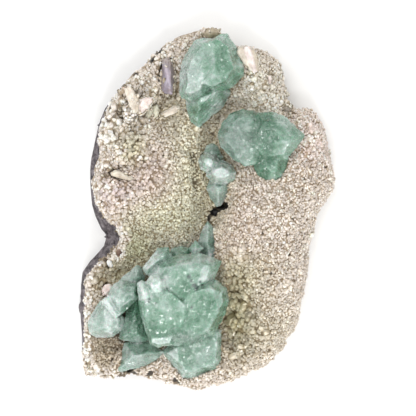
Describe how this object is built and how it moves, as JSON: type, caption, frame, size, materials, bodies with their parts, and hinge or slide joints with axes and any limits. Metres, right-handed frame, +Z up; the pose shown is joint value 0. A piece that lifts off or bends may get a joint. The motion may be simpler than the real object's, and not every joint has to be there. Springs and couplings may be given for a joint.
{
  "type": "apophyllite with heulandite mineral specimen",
  "caption": "Mineral specimen: clusters of pale green translucent crystals on a cream granular druse that caps a dark flat-bottomed slab of basalt.",
  "frame": {"origin": "centre of the bounding box's base, on the surface that the specimen rests on", "axes": "+Z up from the sawn underside, +Y along the slab's length towards its rounded far end, +X across the slab towards the side where the druse wraps over the edge"},
  "size_m": [0.114, 0.1606, 0.0521],
  "materials": {
    "basalt": "matt, broken and sawn",
    "heulandite": "glassy granular druse, cream to olive",
    "apophyllite": "glassy, translucent, lightly frosted",
    "stilbite": "pearly, pale pink to tan"
  },
  "bodies": {
    "root": {"basalt_matrix": "basalt", "heulandite_crust": "heulandite", "apophyllite_rosette": "apophyllite", "apophyllite_pair": "apophyllite", "apophyllite_trio": "apophyllite", "apophyllite_top_group": "apophyllite", "stilbite_lilac_prism": "stilbite", "stilbite_fan": "stilbite", "stilbite_blades": "stilbite", "stilbite_far_end": "stilbite", "stilbite_sheaf": "stilbite", "stilbite_stub": "stilbite", "stilbite_brown": "stilbite", "stilbite_left_blade": "stilbite", "stilbite_pink": "stilbite", "stilbite_oval": "stilbite"}
  },
  "joints": []
}
